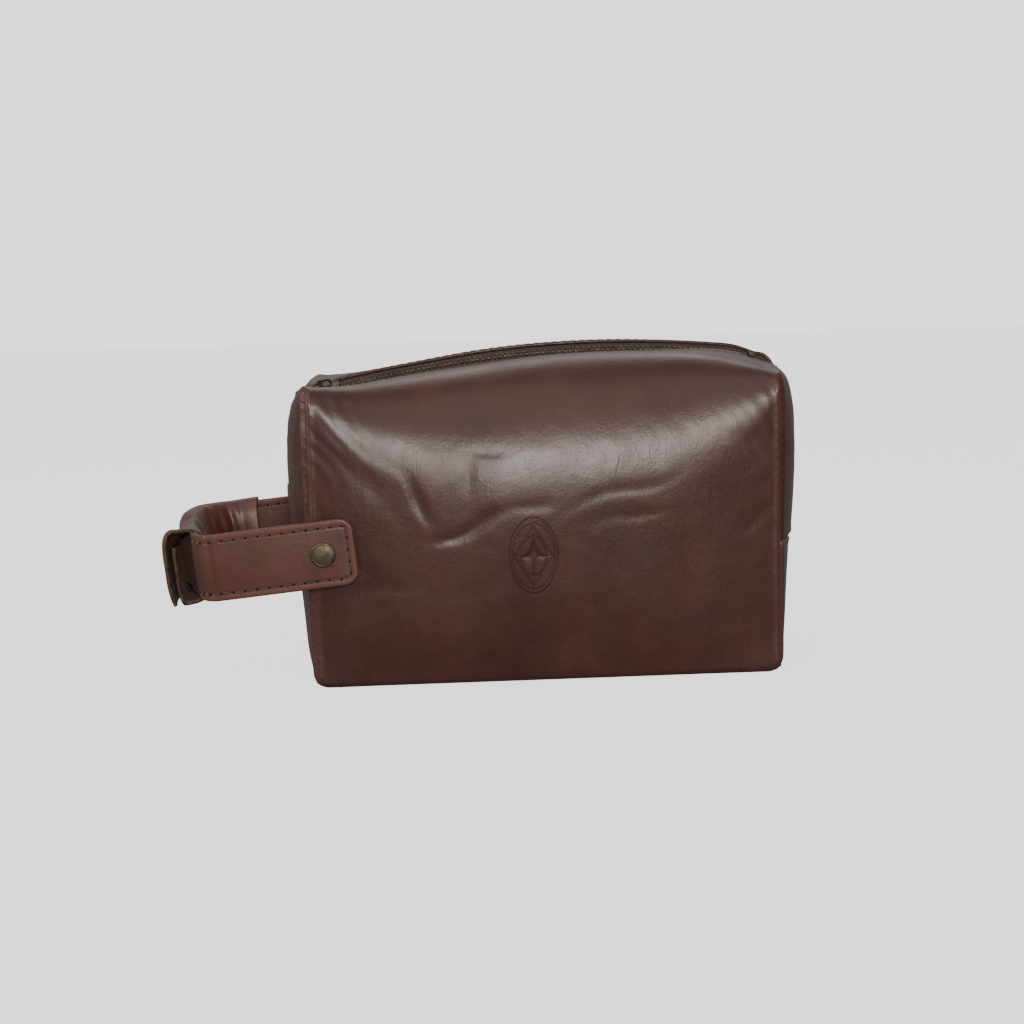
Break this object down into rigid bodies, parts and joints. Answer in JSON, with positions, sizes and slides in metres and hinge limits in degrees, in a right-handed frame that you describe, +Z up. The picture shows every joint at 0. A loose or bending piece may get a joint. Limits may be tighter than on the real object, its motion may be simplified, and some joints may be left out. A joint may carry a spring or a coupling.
{
  "type": "shaving kit bag",
  "caption": "Boxy leather wash bag with a crowned top zip, swelling ends and a side handle: a stitched strap through a rolled grip, snapped to the front face.",
  "frame": {"origin": "middle of the base, on the surface that the bag stands on", "axes": "+X along the bag, away from its handle; the front face looks along -Y; +Z up"},
  "size_m": [0.3213, 0.1291, 0.1628],
  "materials": {
    "leather": "smooth glazed full-grain leather, dark reddish brown",
    "strap_leather": "smooth strap leather with burnished edges, reddish brown",
    "lining_cloth": "plain woven cotton lining",
    "zip_tape": "woven brown zip tape",
    "antique_brass": "antique brass, darkened and satin"
  },
  "bodies": {
    "bag": {"front_panel": "leather", "back_panel": "leather", "base_panel": "leather", "left_end_upper": "leather", "left_end_lower": "leather", "right_end_upper": "leather", "right_end_lower": "leather", "left_zip_tab": "strap_leather", "right_zip_tab": "strap_leather", "lining": "lining_cloth", "slip_pocket": "lining_cloth", "zip_tape_front": "zip_tape", "zip_tape_back": "zip_tape", "zip_teeth_front": "antique_brass", "zip_teeth_back": "antique_brass", "zip_bottom_stop": "antique_brass", "snap_stud": "antique_brass", "snap_post": "antique_brass", "rivet_cap": "antique_brass", "rivet_burr": "antique_brass"},
    "front_flap": {"front_top_flap": "leather"},
    "back_flap": {"back_top_flap": "leather"},
    "slider": {"slider_body": "antique_brass"},
    "pull": {"zip_pull": "antique_brass"},
    "handle": {"strap_rear_facing": "strap_leather", "strap_rear_backing": "strap_leather", "grip_sleeve": "strap_leather"},
    "strap_front": {"strap_front_facing": "strap_leather", "strap_front_backing": "strap_leather", "snap_cap": "antique_brass", "snap_socket": "antique_brass"}
  },
  "joints": [
    {"name": "zip_travel", "type": "hinge", "parent": "bag", "child": "slider", "pos_m": [0.035, 0, -0.4427], "axis": [0, 1, 0], "range_deg": [0, 19.71], "deforming": ["zip_tape_front", "zip_tape_back", "zip_teeth_front", "zip_teeth_back"]},
    {"name": "front_flap_open", "type": "hinge", "parent": "bag", "child": "front_flap", "pos_m": [0, -0.032, 0.1503], "axis": [1, 0, 0], "range_deg": [0, 59.2], "deforming": ["zip_tape_front", "zip_tape_back", "zip_teeth_front", "zip_teeth_back"]},
    {"name": "back_flap_open", "type": "hinge", "parent": "bag", "child": "back_flap", "pos_m": [0, 0.032, 0.1523], "axis": [-1, 0, 0], "range_deg": [0, 59.2], "deforming": ["zip_tape_front", "zip_tape_back", "zip_teeth_front", "zip_teeth_back"]},
    {"name": "pull_flip", "type": "hinge", "parent": "slider", "child": "pull", "pos_m": [-0.10918, -0.00162, 0.14444], "axis": [-0.0779, 0.9426, 0.3246], "range_deg": [0, 185]},
    {"name": "handle_swing", "type": "hinge", "parent": "bag", "child": "handle", "pos_m": [-0.107, 0, 0.067], "axis": [0, 1, 0], "range_deg": [-40, 45]},
    {"name": "strap_release", "type": "hinge", "parent": "handle", "child": "strap_front", "pos_m": [-0.15304, -0.06035, 0.06257], "axis": [0.0958, 0, -0.9954], "range_deg": [0, 100]}
  ],
  "couplings": [
    {"joint": "front_flap_open", "follows": "zip_travel", "ratio": 3},
    {"joint": "back_flap_open", "follows": "zip_travel", "ratio": 3}
  ]
}
